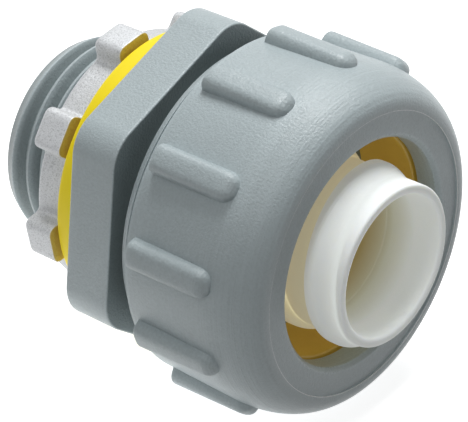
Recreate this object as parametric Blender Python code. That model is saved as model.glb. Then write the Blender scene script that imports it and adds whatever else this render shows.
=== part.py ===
"""Liquidtight conduit connector, trade size 1/2: six pieces on one axis.

Frame: the origin is the centre of the flange's sealing face, +X points out of the gland nut's
mouth, +Z is up. Lengths are in metres, angles in degrees from +Y towards +Z.
"""
import bpy
import numpy as np

# Shared sizes
CLEARANCE = 0.0003
TURN_STEPS = 48
SPIRAL_STEPS = 40
CONDUIT_RADIUS = 0.01055
CONDUIT_BORE_RADIUS = 0.0079

# Connector body
NOSE_LENGTH = 0.01395
NOSE_RADIUS = 0.01055
NOSE_COLLAR_LENGTH = 0.00135
NOSE_COLLAR_DROP = 0.0007
NOSE_WALL = 0.00255
NOSE_LAND = 0.0012
THREAD_LEAD = 0.001814
THREAD_DEPTH = 0.00125
THREAD_CREST = 0.00016
THREAD_FLANK_ANGLE = 30.0
THREAD_SINK = 0.0002
THREAD_START_SETBACK = 0.00089
THREAD_END_ANGLE = 81.9
THREAD_END_SETBACK = 0.0019
THREAD_FADE_TURNS = 0.08
FLANGE_THICKNESS = 0.00525
FLANGE_MARGIN = 0.00157
FLANGE_CORNER_RADIUS = 0.0039
FLANGE_TURN = -6.23
FLANGE_EDGE = 0.00025
FLANGE_CORNER_STEPS = 6
BARREL_LENGTH = 0.00945
BARREL_WALL = 0.0031
BARREL_EDGE = 0.0003
SOCKET_FLOOR = 0.0005
SOCKET_PLAY = 0.00035
SOCKET_CONE = 0.0015

# Sealing ring
SEAL_THICKNESS = 0.00256
SEAL_WALL = 0.00345
SEAL_SETBACK = 0.00127
SEAL_EDGE = 0.0003

# Locknut
LOCKNUT_THICKNESS = 0.00345
LOCKNUT_WALL = 0.00225
LOCKNUT_EDGE = 0.00035
LUG_COUNT = 8
LUG_FIRST_ANGLE = 101.2
LUG_HEIGHT = 0.0019
LUG_WIDTH = 0.0041
LUG_CORNER_RADIUS = 0.0009
LUG_CORNER_STEPS = 3
LUG_ROOT_DEPTH = 0.0007

# Gland nut
NUT_SETBACK = 0.00159
NUT_WALL = 0.0029
NUT_REAR_WALL = 0.0013
NUT_BAND_LENGTH = 0.00141
NUT_BAND_RISE = 0.00076
NUT_GROOVE_WIDTH = 0.00025
NUT_GROOVE_DEPTH = 0.0002
NUT_TAPER = 0.0002
NUT_ROLL_LENGTH = 0.0058
NUT_ROLL_DEPTH = 0.0030
NUT_ROLL_STEPS = 10
NUT_RIM_WIDTH = 0.00025
NUT_FACE_RECESS = 0.0002
NUT_MOUTH_PLAY = 0.0007
NUT_MOUTH_EDGE = 0.0004
NUT_LIP = 0.00254
NUT_TRAVEL = 0.0012
RIB_COUNT = 12
RIB_FIRST_ANGLE = 21.0
RIB_START = 0.00271
RIB_END_SETBACK = 0.00429
RIB_WIDTH = 0.0029
RIB_HEIGHT = 0.00125
RIB_TAPER = 0.0002
RIB_REAR_EDGE = 0.0003
RIB_FRONT_ROUND = 0.0014
RIB_SECTION_STEPS = 8
RIB_ROUND_STEPS = 4
RIB_ROOT_DEPTH = 0.0009

# Grip ring
GRIP_PLAY = 0.0005
GRIP_WALL = 0.00195
GRIP_STANDOFF = 0.0009
GRIP_LENGTH = 0.0045
GRIP_CONE = 0.0018
GRIP_NOSE_WALL = 0.0005
GRIP_EDGE = 0.0002

# Ferrule
FERRULE_REACH = 0.00316
FERRULE_BASE_THICKNESS = 0.0020
FERRULE_BASE_EDGE = 0.0003
FERRULE_PLAY = 0.00005
FERRULE_WALL = 0.00135
FERRULE_LIP = 0.0004
FERRULE_LIP_STEPS = 6
FERRULE_TAPER_LENGTH = 0.0060
FERRULE_TAPER_RISE = 0.00042
RIDGE_LEAD = 0.0051
RIDGE_TURNS = 3.5
RIDGE_END_ANGLE = 290.0
RIDGE_END_SETBACK = 0.00155
RIDGE_HEIGHT = 0.0007
RIDGE_REAR_FLANK = 0.0002
RIDGE_CREST = 0.0009
RIDGE_SHOULDER = 0.0008
RIDGE_SHOULDER_HEIGHT = 0.00025
RIDGE_RAMP = 0.0021
RIDGE_SINK = 0.0003
RIDGE_FADE_TURNS = 0.17
RIDGE_LIP_MARGIN = 0.0003

# Radii that follow from the fits between the pieces; the flange covers both the ring and the barrel
WIREWAY_RADIUS = NOSE_RADIUS - NOSE_WALL
RUNNING_RADIUS = NOSE_RADIUS + CLEARANCE
SEAL_RADIUS = RUNNING_RADIUS + SEAL_WALL
THREAD_ROOT_RADIUS = NOSE_RADIUS - THREAD_DEPTH
SOCKET_RADIUS = CONDUIT_RADIUS + SOCKET_PLAY
BARREL_RADIUS = SOCKET_RADIUS + BARREL_WALL
FLANGE_FLAT_RADIUS = max(SEAL_RADIUS + SEAL_SETBACK, BARREL_RADIUS + FLANGE_MARGIN)
LOCKNUT_RADIUS = RUNNING_RADIUS + LOCKNUT_WALL
NUT_THREAD_RADIUS = BARREL_RADIUS + CLEARANCE
NUT_RADIUS = NUT_THREAD_RADIUS + NUT_WALL
NUT_MOUTH_RADIUS = CONDUIT_RADIUS + NUT_MOUTH_PLAY
GRIP_BORE_RADIUS = CONDUIT_RADIUS + GRIP_PLAY
GRIP_RADIUS = GRIP_BORE_RADIUS + GRIP_WALL
FERRULE_RADIUS = CONDUIT_BORE_RADIUS + FERRULE_PLAY
FERRULE_BORE_RADIUS = FERRULE_RADIUS - FERRULE_WALL

# Places along the axis
BARREL_END = FLANGE_THICKNESS + BARREL_LENGTH
SEAL_BACK = -CLEARANCE - SEAL_THICKNESS
LOCKNUT_BACK = SEAL_BACK - CLEARANCE - LOCKNUT_THICKNESS
NUT_BACK = FLANGE_THICKNESS + NUT_SETBACK
GRIP_BACK = BARREL_END + GRIP_STANDOFF
NUT_SEAT = GRIP_BACK + GRIP_LENGTH + CLEARANCE
NUT_FACE = NUT_SEAT + NUT_LIP
NUT_LENGTH = NUT_FACE + NUT_FACE_RECESS - NUT_BACK
RIB_END = NUT_LENGTH - RIB_END_SETBACK
FERRULE_BACK = SOCKET_FLOOR + CLEARANCE
FERRULE_LENGTH = NUT_BACK + NUT_LENGTH + FERRULE_REACH - FERRULE_BACK


def finish(name, colour, roughness, metallic=0.0):
    """Principled material of one piece."""
    material = bpy.data.materials.new(name)
    material.use_nodes = True
    shader = material.node_tree.nodes["Principled BSDF"]
    shader.inputs["Base Color"].default_value = (*colour, 1.0)
    shader.inputs["Roughness"].default_value = roughness
    shader.inputs["Metallic"].default_value = metallic
    return material


def circle(x, radius):
    """Points of one circle square to the axis."""
    angles = np.arange(TURN_STEPS) * 2.0 * np.pi / TURN_STEPS
    return np.column_stack([np.full(TURN_STEPS, x), radius * np.cos(angles), radius * np.sin(angles)])


def arc(centre, reach, start, stop, steps):
    """Points (x, radius) of an elliptic arc about a centre, from one angle to another."""
    angles = np.radians(np.linspace(start, stop, steps + 1))
    return [(centre[0] + reach[0] * np.cos(a), centre[1] + reach[1] * np.sin(a)) for a in angles]


def skin(shells, looped=False):
    """Mesh over shells of sections: each shell joined end to end, or capped at both ends."""
    points = []
    faces = []
    for sections in shells:
        base = len(points)
        count, size = len(sections), len(sections[0])
        points.extend(point for section in sections for point in section)
        for row in range(count if looped else count - 1):
            here = base + row * size
            ahead = base + (row + 1) % count * size
            for k in range(size):
                after = (k + 1) % size
                faces.append((here + k, here + after, ahead + after, ahead + k))
        if not looped:
            faces.append(tuple(base + k for k in reversed(range(size))))
            faces.append(tuple(base + (count - 1) * size + k for k in range(size)))
    mesh = bpy.data.meshes.new("skin")
    mesh.from_pydata([tuple(map(float, point)) for point in points], [], faces)
    mesh.update()
    return mesh


def face_outward(mesh):
    """Turn every face outward when the skin came out inside out."""
    mesh.calc_loop_triangles()
    corners = [[mesh.vertices[k].co for k in triangle.vertices] for triangle in mesh.loop_triangles]
    volume = sum(a.dot(b.cross(c)) for a, b, c in corners)
    if volume < 0.0:
        mesh.flip_normals()


def piece(name, mesh, material=None):
    """Object with smooth faces and sharp edges, holding a mesh whose faces point outward."""
    face_outward(mesh)
    mesh.name = name
    mesh.shade_smooth()
    mesh.set_sharp_from_angle(angle=np.radians(30.0))
    made = bpy.data.objects.new(name, mesh)
    bpy.context.collection.objects.link(made)
    if material:
        mesh.materials.append(material)
    return made


def combine(target, tool, operation):
    """Join a tool solid to the target, or cut it away, and keep the tool as a hidden guide."""
    tool.hide_render = True
    tool.display_type = "WIRE"
    tool.parent = target
    boolean = target.modifiers.new(operation.title(), "BOOLEAN")
    boolean.operation = operation
    boolean.solver = "EXACT"
    boolean.object = tool


def turned(outline):
    """Ring turned about the axis from a closed outline of (x, radius) points."""
    angles = np.arange(TURN_STEPS) * 2.0 * np.pi / TURN_STEPS
    sections = [[(x, r * np.cos(a), r * np.sin(a)) for x, r in outline] for a in angles]
    return skin([sections], looped=True)


def spindle(profile):
    """Solid turned about the axis: a circle for each (x, radius) of the profile."""
    return skin([[circle(x, r) for x, r in profile]])


def hexagon(x, inset):
    """Six flats with rounded corners, square to the axis and drawn in by the inset."""
    corner = FLANGE_CORNER_RADIUS - inset
    centre = (FLANGE_FLAT_RADIUS - FLANGE_CORNER_RADIUS) / np.cos(np.radians(30.0))
    points = []
    for index in range(6):
        middle = FLANGE_TURN + 30.0 + 60.0 * index
        hub = centre * np.array([np.cos(np.radians(middle)), np.sin(np.radians(middle))])
        for y, z in arc(hub, (corner, corner), middle - 30.0, middle + 30.0, FLANGE_CORNER_STEPS):
            points.append((x, y, z))
    return points


def spiral(lead, end_x, end_angle, turns, fade_turns, outline):
    """Sections of a ridge that climbs one lead in each turn and fades at both ends.

    The outline is a function of the place along the axis and of the share that has grown. It gives the
    section's (x, radius) points.
    """
    steps = int(round(turns * SPIRAL_STEPS))
    sections = []
    for step in range(steps + 1):
        left = (steps - step) / SPIRAL_STEPS
        turn = np.radians(end_angle) - 2.0 * np.pi * left
        grown = np.sin(np.pi / 2.0 * min(1.0, step / SPIRAL_STEPS / fade_turns, left / fade_turns))
        points = outline(end_x - lead * left, grown)
        sections.append([(x, r * np.cos(turn), r * np.sin(turn)) for x, r in points])
    return sections


def thread_outline(x, grown):
    """Section of the nose's thread: two flanks and a narrow crest, its foot sunk into the root."""
    buried = THREAD_ROOT_RADIUS - THREAD_SINK
    crest = THREAD_ROOT_RADIUS + THREAD_DEPTH * grown
    half = THREAD_CREST / 2.0
    foot = half + (crest - buried) * np.tan(np.radians(THREAD_FLANK_ANGLE))
    return [(x - foot, buried), (x - half, crest), (x + half, crest), (x + foot, buried)]


def connector_body():
    """Threaded nose, hexagonal flange and barrel in one moulding, bored for wires and conduit."""
    flange_middle = FLANGE_THICKNESS / 2.0
    collar_front = -NOSE_LENGTH + NOSE_COLLAR_LENGTH
    flank = THREAD_DEPTH * np.tan(np.radians(THREAD_FLANK_ANGLE))
    thread_turns = (-THREAD_END_SETBACK - collar_front - THREAD_START_SETBACK) / THREAD_LEAD
    thread = spiral(
        THREAD_LEAD, -THREAD_END_SETBACK, THREAD_END_ANGLE, thread_turns, THREAD_FADE_TURNS, thread_outline,
    )
    stem = spindle([
        (-NOSE_LENGTH, NOSE_RADIUS - NOSE_COLLAR_DROP),
        (collar_front, NOSE_RADIUS),
        (collar_front + flank, THREAD_ROOT_RADIUS),
        (-NOSE_LAND - flank, THREAD_ROOT_RADIUS),
        (-NOSE_LAND, NOSE_RADIUS),
        (flange_middle, NOSE_RADIUS),
        (flange_middle, BARREL_RADIUS),
        (BARREL_END - BARREL_EDGE, BARREL_RADIUS),
        (BARREL_END, BARREL_RADIUS - BARREL_EDGE),
    ])
    flange = skin([[
        hexagon(0.0, FLANGE_EDGE),
        hexagon(FLANGE_EDGE, 0.0),
        hexagon(FLANGE_THICKNESS - FLANGE_EDGE, 0.0),
        hexagon(FLANGE_THICKNESS, FLANGE_EDGE),
    ]])
    bore = spindle([
        (-NOSE_LENGTH - CLEARANCE, WIREWAY_RADIUS + BARREL_EDGE + CLEARANCE),
        (-NOSE_LENGTH + BARREL_EDGE, WIREWAY_RADIUS),
        (SOCKET_FLOOR, WIREWAY_RADIUS),
        (SOCKET_FLOOR, SOCKET_RADIUS),
        (BARREL_END - SOCKET_CONE, SOCKET_RADIUS),
        (BARREL_END + CLEARANCE, SOCKET_RADIUS + SOCKET_CONE + CLEARANCE),
    ])
    made = piece("connector_body", stem, finish("grey moulding", (0.36, 0.40, 0.42), 0.5))
    combine(made, piece("guide_thread", skin([thread])), "UNION")
    combine(made, piece("guide_flange", flange), "UNION")
    combine(made, piece("guide_bore", bore), "DIFFERENCE")
    return made


def sealing_ring():
    """Flat yellow washer behind the flange, its four edges broken, from its rear face forward."""
    edge = SEAL_EDGE
    thick = SEAL_THICKNESS
    outline = [
        (0.0, RUNNING_RADIUS + edge), (0.0, SEAL_RADIUS - edge), (edge, SEAL_RADIUS),
        (thick - edge, SEAL_RADIUS), (thick, SEAL_RADIUS - edge), (thick, RUNNING_RADIUS + edge),
        (thick - edge, RUNNING_RADIUS), (edge, RUNNING_RADIUS),
    ]
    return piece("sealing_ring", turned(outline), finish("yellow ring", (0.89, 0.72, 0.03), 0.45))


def lug(x, inset, middle):
    """Section of one locknut lug square to the axis: radial sides and two rounded outer corners."""
    half = LUG_WIDTH / 2.0 - inset
    top = LOCKNUT_RADIUS + LUG_HEIGHT - inset
    root = LOCKNUT_RADIUS - LUG_ROOT_DEPTH
    corner = LUG_CORNER_RADIUS
    reach = (corner, corner)
    outline = [(root, -half)]
    outline += arc((top - corner, -half + corner), reach, -90.0, 0.0, LUG_CORNER_STEPS)
    outline += arc((top - corner, half - corner), reach, 0.0, 90.0, LUG_CORNER_STEPS)
    outline += [(root, half)]
    turn = np.radians(middle)
    return [(x, r * np.cos(turn) - t * np.sin(turn), r * np.sin(turn) + t * np.cos(turn)) for r, t in outline]


def locknut():
    """Cast ring with evenly spaced lugs, from its nose-side face forward."""
    edge = LOCKNUT_EDGE
    thick = LOCKNUT_THICKNESS
    outline = [
        (0.0, RUNNING_RADIUS + edge), (0.0, LOCKNUT_RADIUS - edge), (edge, LOCKNUT_RADIUS),
        (thick - edge, LOCKNUT_RADIUS), (thick, LOCKNUT_RADIUS - edge), (thick, RUNNING_RADIUS + edge),
        (thick - edge, RUNNING_RADIUS), (edge, RUNNING_RADIUS),
    ]
    lugs = []
    for index in range(LUG_COUNT):
        middle = LUG_FIRST_ANGLE + 360.0 / LUG_COUNT * index
        lugs.append([
            lug(0.0, edge, middle), lug(edge, 0.0, middle),
            lug(thick - edge, 0.0, middle), lug(thick, edge, middle),
        ])
    made = piece("locknut", turned(outline), finish("zinc casting", (0.68, 0.69, 0.70), 0.42, 0.85))
    combine(made, piece("guide_lugs", skin(lugs)), "UNION")
    return made


def rib(x, height, width, middle):
    """Half-round section of one rib square to the axis, its foot sunk into the nut's wall."""
    foot = NUT_RADIUS - NUT_TAPER
    crown = arc((foot, 0.0), (height, width / 2.0), -90.0, 90.0, RIB_SECTION_STEPS)
    sunk = foot - RIB_ROOT_DEPTH
    outline = [(sunk, -width / 2.0)] + crown + [(sunk, width / 2.0)]
    turn = np.radians(middle)
    return [(x, r * np.cos(turn) - t * np.sin(turn), r * np.sin(turn) + t * np.cos(turn)) for r, t in outline]


def rib_sections(middle):
    """One rib from its square rear end to its rounded front end."""
    height = RIB_HEIGHT + NUT_TAPER
    sections = [
        rib(RIB_START, height - RIB_REAR_EDGE, RIB_WIDTH - 2.0 * RIB_REAR_EDGE, middle),
        rib(RIB_START + RIB_REAR_EDGE, height, RIB_WIDTH, middle),
    ]
    for step in range(RIB_ROUND_STEPS + 1):
        bend = np.radians(80.0 * step / RIB_ROUND_STEPS)
        x = RIB_END - RIB_FRONT_ROUND * (1.0 - np.sin(bend))
        rise = (height - RIB_TAPER) * np.cos(bend)
        sections.append(rib(x, rise, RIB_WIDTH * np.sqrt(np.cos(bend)), middle))
    return sections


def gland_nut():
    """Ribbed nut with a rolled nose, a mouth for the conduit and a cavity for the grip ring."""
    band_radius = NUT_THREAD_RADIUS + NUT_REAR_WALL + NUT_BAND_RISE
    shell_start = NUT_BAND_LENGTH + NUT_GROOVE_WIDTH
    roll_start = NUT_LENGTH - NUT_ROLL_LENGTH
    roll_radius = NUT_RADIUS - NUT_ROLL_DEPTH
    face = NUT_FACE - NUT_BACK
    seat = NUT_SEAT - NUT_BACK
    cavity_radius = GRIP_RADIUS + CLEARANCE
    thread_end = BARREL_END + NUT_TRAVEL + CLEARANCE - NUT_BACK
    outline = [
        (0.0, NUT_THREAD_RADIUS + CLEARANCE),
        (0.0, NUT_THREAD_RADIUS + NUT_REAR_WALL),
        (NUT_BAND_LENGTH, band_radius),
        (NUT_BAND_LENGTH + NUT_GROOVE_WIDTH / 2.0, band_radius - NUT_GROOVE_DEPTH),
        (shell_start, NUT_RADIUS - NUT_TAPER),
    ]
    outline += arc((roll_start, roll_radius), (NUT_ROLL_LENGTH, NUT_ROLL_DEPTH), 90.0, 0.0, NUT_ROLL_STEPS)
    outline += [
        (NUT_LENGTH, roll_radius - NUT_RIM_WIDTH),
        (face, roll_radius - NUT_RIM_WIDTH),
        (face, NUT_MOUTH_RADIUS + NUT_MOUTH_EDGE),
        (face - NUT_MOUTH_EDGE, NUT_MOUTH_RADIUS),
        (seat, NUT_MOUTH_RADIUS),
        (seat, cavity_radius),
        (thread_end + CLEARANCE, cavity_radius),
        (thread_end, NUT_THREAD_RADIUS),
        (CLEARANCE, NUT_THREAD_RADIUS),
    ]
    ribs = [rib_sections(RIB_FIRST_ANGLE + 360.0 / RIB_COUNT * index) for index in range(RIB_COUNT)]
    made = piece("gland_nut", turned(outline), finish("grey nut moulding", (0.36, 0.40, 0.42), 0.5))
    combine(made, piece("guide_ribs", skin(ribs)), "UNION")
    return made


def grip_ring():
    """Compression ring: a plain bore, a flat front and a cone that points into the barrel."""
    edge = GRIP_EDGE
    length = GRIP_LENGTH
    nose_radius = GRIP_BORE_RADIUS + GRIP_NOSE_WALL
    outline = [
        (0.0, GRIP_BORE_RADIUS), (0.0, nose_radius), (GRIP_CONE, GRIP_RADIUS), (length - edge, GRIP_RADIUS),
        (length, GRIP_RADIUS - edge), (length, GRIP_BORE_RADIUS + edge), (length - edge, GRIP_BORE_RADIUS),
    ]
    return piece("grip_ring", turned(outline), finish("amber ring", (0.30, 0.19, 0.03), 0.35))


def ridge_outline(x, grown):
    """Section of the ferrule's ridge: a steep rear flank, a crest, a short shoulder and a long ramp.

    In front the ridge is drawn together where it would pass the lip.
    """
    buried = FERRULE_RADIUS - RIDGE_SINK
    half = RIDGE_CREST / 2.0
    room = FERRULE_LENGTH - FERRULE_LIP - RIDGE_LIP_MARGIN - x - half
    share = min(1.0, room / (RIDGE_SHOULDER + RIDGE_RAMP))
    return [
        (x - half - RIDGE_REAR_FLANK, buried), (x - half, FERRULE_RADIUS + RIDGE_HEIGHT * grown),
        (x + half, FERRULE_RADIUS + RIDGE_HEIGHT * grown),
        (x + half + RIDGE_SHOULDER * share, FERRULE_RADIUS + RIDGE_SHOULDER_HEIGHT * grown),
        (x + half + (RIDGE_SHOULDER + RIDGE_RAMP) * share, buried),
    ]


def ferrule():
    """Thin tube on a seating flange, with a lead-in bore, a round lip and a coarse spiral ridge."""
    base_radius = SOCKET_RADIUS - CLEARANCE
    base = FERRULE_BASE_THICKNESS
    edge = FERRULE_BASE_EDGE
    mouth_radius = FERRULE_BORE_RADIUS + FERRULE_TAPER_RISE
    lip_middle = (FERRULE_RADIUS + mouth_radius) / 2.0
    lip_half = (FERRULE_RADIUS - mouth_radius) / 2.0
    outline = [
        (0.0, FERRULE_BORE_RADIUS), (0.0, base_radius - edge), (edge, base_radius),
        (base - edge, base_radius), (base, base_radius - edge), (base, FERRULE_RADIUS),
    ]
    lip_centre = (FERRULE_LENGTH - FERRULE_LIP, lip_middle)
    outline += arc(lip_centre, (FERRULE_LIP, lip_half), 90.0, -90.0, FERRULE_LIP_STEPS)
    outline += [(FERRULE_LENGTH - FERRULE_TAPER_LENGTH, FERRULE_BORE_RADIUS)]
    made = piece("ferrule", turned(outline), finish("white ferrule", (0.76, 0.77, 0.76), 0.4))
    end_x = FERRULE_LENGTH - RIDGE_END_SETBACK
    ridge = spiral(RIDGE_LEAD, end_x, RIDGE_END_ANGLE, RIDGE_TURNS, RIDGE_FADE_TURNS, ridge_outline)
    combine(made, piece("guide_ridge", skin([ridge])), "UNION")
    return made


def build():
    """Clear the scene, make the six pieces and set each at its place along the axis."""
    for old in list(bpy.data.objects):
        bpy.data.objects.remove(old, do_unlink=True)
    places = [
        (connector_body(), 0.0), (sealing_ring(), SEAL_BACK), (locknut(), LOCKNUT_BACK),
        (gland_nut(), NUT_BACK), (grip_ring(), GRIP_BACK), (ferrule(), FERRULE_BACK),
    ]
    for made, x in places:
        made.location.x = x


build()
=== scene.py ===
import bpy
import numpy as np
from mathutils import Matrix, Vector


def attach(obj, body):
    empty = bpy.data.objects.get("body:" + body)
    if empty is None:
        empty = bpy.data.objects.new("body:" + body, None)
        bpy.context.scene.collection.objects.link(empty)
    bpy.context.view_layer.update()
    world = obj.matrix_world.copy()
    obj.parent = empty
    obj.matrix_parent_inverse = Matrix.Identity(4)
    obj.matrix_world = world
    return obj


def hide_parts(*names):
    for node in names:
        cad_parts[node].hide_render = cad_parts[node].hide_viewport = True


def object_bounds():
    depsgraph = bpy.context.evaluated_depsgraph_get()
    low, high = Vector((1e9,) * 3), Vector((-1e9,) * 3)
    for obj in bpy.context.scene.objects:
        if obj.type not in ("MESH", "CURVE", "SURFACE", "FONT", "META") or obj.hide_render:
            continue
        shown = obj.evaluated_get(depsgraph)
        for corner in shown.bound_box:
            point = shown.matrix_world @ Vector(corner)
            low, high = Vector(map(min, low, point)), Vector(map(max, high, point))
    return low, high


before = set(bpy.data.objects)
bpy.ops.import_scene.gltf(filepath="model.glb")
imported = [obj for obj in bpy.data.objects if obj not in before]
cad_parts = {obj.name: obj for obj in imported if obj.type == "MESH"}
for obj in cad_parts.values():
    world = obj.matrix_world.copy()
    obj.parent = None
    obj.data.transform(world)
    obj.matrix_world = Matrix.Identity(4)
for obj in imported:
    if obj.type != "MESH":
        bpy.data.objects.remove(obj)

# Liquidtight conduit connector: detailed pieces and finishes in place of the plain solids of the frame.
# Lengths are millimetres in the frame of the part, and angles are degrees from +Y towards +Z.

cad_box = [list(corner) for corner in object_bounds()]
MM = 0.001

# Threaded nose of the body
NOSE_BACK = -13.95
NOSE_RADIUS = 10.55
NOSE_END_RADIUS = 9.85
NOSE_CORE_RADIUS = 9.3
NOSE_LEAD = 1.814
NOSE_CREST_X = -10.4
NOSE_CREST_ANGLE = 195.0
NOSE_CREST_WIDTH = 0.26
NOSE_THREAD_GAP = 0.89
NOSE_THREAD_FRONT = -1.9
NOSE_THREAD_FADE = 30.0
COLLAR_FRONT = -12.6
COLLAR_RADIUS = NOSE_RADIUS - 0.03
NECK_BACK = -1.6
NECK_FRONT = -1.2
NECK_RADIUS = NOSE_RADIUS - 0.35
WIREWAY_RADIUS = 8.0
WIREWAY_CHAMFER = 0.3
THREAD_FLANK = 30.0

# Hexagonal flange of the body
FLANGE_FRONT = 5.25
FLANGE_FLAT_RADIUS = 15.57
FLANGE_CORNER_RADIUS = 3.9
FLANGE_TURN = -6.23
FLANGE_ROUND = 0.2
CORNER_START = 22.0
CORNER_END = 38.0

# Barrel of the body, and the socket round the ferrule
BARREL_FRONT = 14.7
BARREL_RADIUS = 14.0
BARREL_CORE_RADIUS = 13.15
BARREL_LEAD = 1.5
BARREL_CREST_WIDTH = 0.25
BARREL_THREAD_BACK = FLANGE_FRONT + 1.2
BARREL_THREAD_LENGTH = BARREL_FRONT - FLANGE_FRONT - 2.2
BARREL_THREAD_FADE = 60.0
BARREL_LIP = 0.9
BARREL_LIP_RADIUS = BARREL_RADIUS - 0.35
SOCKET_FLOOR = 0.5
SOCKET_RADIUS = 10.9
SOCKET_CONE = 1.5
SOCKET_CONE_LENGTH = 3.0

# Sealing ring and locknut
SEAL_BACK = -2.86
SEAL_FRONT = -0.3
SEAL_RADIUS = 14.3
RUNNING_RADIUS = 10.85
LOCKNUT_BACK = -6.61
LOCKNUT_FRONT = -3.16
LOCKNUT_RADIUS = 13.1
LOCKNUT_ROUND = 0.45
LOCKNUT_FRONT_ROUND = 0.12
LOCKNUT_BORE_EDGE = 0.3
LUG_COUNT = 8
LUG_FIRST_ANGLE = 101.2
LUG_TIP_RADIUS = 15.0
LUG_WIDTH = 4.1
LUG_CORNER = 1.0
LUG_FOOT = 0.55

# Gland nut
NUT_BACK = 6.84
NUT_BACK_RADIUS = 15.6
NUT_THREAD_RADIUS = 14.3
NUT_THREAD_EDGE = 0.3
NUT_WALL_BACK = 8.5
NUT_WALL_EDGE = 0.06
NUT_SHELL_RADIUS = 17.0
NUT_RADIUS = 17.2
NUT_ROLL_START = 17.34
NUT_FRONT = 23.14
NUT_ROLL_RADIUS = 14.2
NUT_RIM = 0.25
NUT_FACE = 22.94
NUT_MOUTH_RADIUS = 11.25
NUT_MOUTH_EDGE = 0.4
NUT_SEAT = 20.4
NUT_CAVITY_RADIUS = 13.3
NUT_CAVITY_BACK = 16.2
NUT_CAVITY_EDGE = 0.3
NUT_GRID = 0.45
# Painted highlight line on the step of the nut's front edge: its reach, and the rim value that marks it
GLINT_REACH = 0.07
GLINT_MARK = 2.0

# Groove round the nut behind its wall: corners (x, radius, reach)
NUT_GROOVE = [
    (7.62, 15.98, 0.06), (7.66, 15.7, 0.03), (7.84, 15.7, 0.03), (7.9, 16.1, 0.06), (8.42, 16.3, 0.03),
]

# Ribs of the gland nut
RIB_COUNT = 12
RIB_FIRST_ANGLE = 21.0
RIB_BACK = 9.55
RIB_BACK_ROUND = 0.35
RIB_FRONT = 18.85
RIB_ROUND = 1.4
RIB_WIDTH = 2.9
RIB_HEIGHT = 1.38
RIB_TAPER = 0.2
RIB_BLEND = 0.05
RIB_SIDE_FALL = 2.0
LANE_LEAST = 0.3

# Rear end of a rib: (place from its back, share of the height, share of the width)
RIB_REAR = [
    (-0.16, 0.0, 1.0), (-0.07, 0.03, 1.0), (-0.03, 0.14, 1.0), (-0.012, 0.35, 0.995), (0.0, 0.6, 0.985),
    (0.012, 0.76, 0.98), (0.04, 0.86, 0.985), (0.1, 0.93, 0.99), (0.2, 0.975, 1.0),
    (RIB_BACK_ROUND, 1.0, 1.0),
]

# Grip ring
GRIP_SKIRT_BACK = 13.8
GRIP_SKIRT_RADIUS = 11.2
GRIP_BACK = 15.6
GRIP_FRONT = 20.1
GRIP_BORE_RADIUS = 11.05
GRIP_NOSE_RADIUS = 11.55
GRIP_RADIUS = 13.0
GRIP_CONE = 1.8

# Ferrule and its spiral ridge
FERRULE_BACK = 0.8
FERRULE_FRONT = 26.3
FERRULE_BASE_RADIUS = 10.6
FERRULE_BASE_FRONT = 2.8
FERRULE_RADIUS = 7.95
FERRULE_BORE_RADIUS = 6.6
FERRULE_MOUTH_RADIUS = 7.02
FERRULE_TAPER_START = 20.3
FERRULE_TAPER_STEP = 0.09
RIDGE_LEAD = 5.1
RIDGE_TURNS = 3.5
RIDGE_END_ANGLE = 290.0
RIDGE_END_X = 24.75
RIDGE_FADE = 61.0
RIDGE_HEIGHT = 0.7
RIDGE_REACH_BACK = 0.6
RIDGE_REAR = 0.12
RIDGE_CREST = 0.1
RIDGE_RAMP = 2.3
RIDGE_FOOT = 2.6
RIDGE_KEPT = 0.45
RIDGE_LIP_GAP = 0.45
RIDGE_SINK = 0.012
RIDGE_DEPTH = 0.35
OLD_TURN_ANGLE = RIDGE_END_ANGLE - 330.0
OLD_TURN_SHARE = 0.5

# Fineness of the grids
RING_GRID = 0.3
NOSE_GRID = 0.4
BARREL_GRID = 0.5
RING_COLUMNS = 192
FERRULE_COLUMNS = 240
SHARP_ANGLE = 38.0
SHARP_BEND = 3.0
TINY = 1e-6

# Camera, fitted to the photograph
IMAGE_WIDTH = 468
FOCAL_PIXELS = 2400.0
SENSOR_WIDTH = 36.0
CAMERA_TURN = 49.15
CAMERA_RISE = 29.722
CAMERA_DISTANCE = 221.107
CAMERA_SIDEWAYS = -11.81975
CAMERA_UPWARD = 3.8863
CAMERA_CLIP = 10.0
AIM_X = 22.54

# Places where a finish, its painted shade or its painted reflection changes
LINES_START = 16.5
ROOT_RADIUS = 10.45
ROOT_FRONT = -1.0
GAP_BACK = 5.18
YELLOW_REFLECTION_BACK = -3.22
BORE_EDGE = 7.45
INNER_FRONT = 23.5
DEEP_FRONT = 21.0

# Light and floor
WORLD_LEVEL = 0.12
LAMP_AIM_X = 8.0
FLOOR_SIZE = 1600.0
GLOW_CENTRE = -4.0
GLOW_RADIUS = 41.67
GLOW_FRONT = 26.0

# Colours that more than one place uses
GREY = (0.335, 0.39, 0.405)
BRIGHT_ZINC = (0.72, 0.735, 0.755)


def soften(corners, steps=5, most=0.45):
    """Closed outline with rounded corners, from corners (x, y, reach).

    Each corner P becomes the curve (1 - s)^2 A + 2 s (1 - s) P + s^2 C, where A and C lie on its two edges
    at the reach from P, or at 45% of the edge where that is shorter.
    """
    corners = np.asarray(corners, float)
    points, reach = corners[:, :2], corners[:, 2:]
    ends = []
    for neighbour in (np.roll(points, 1, 0), np.roll(points, -1, 0)):
        edge = neighbour - points
        length = np.linalg.norm(edge, axis=1, keepdims=True)
        ends.append(points + edge / length * np.minimum(reach, most * length))
    s = np.linspace(0.0, 1.0, steps + 1)[None, :, None]
    start, corner, end = ends[0][:, None], points[:, None], ends[1][:, None]
    return ((1.0 - s) ** 2 * start + 2.0 * s * (1.0 - s) * corner + s**2 * end).reshape(-1, 2)


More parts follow.
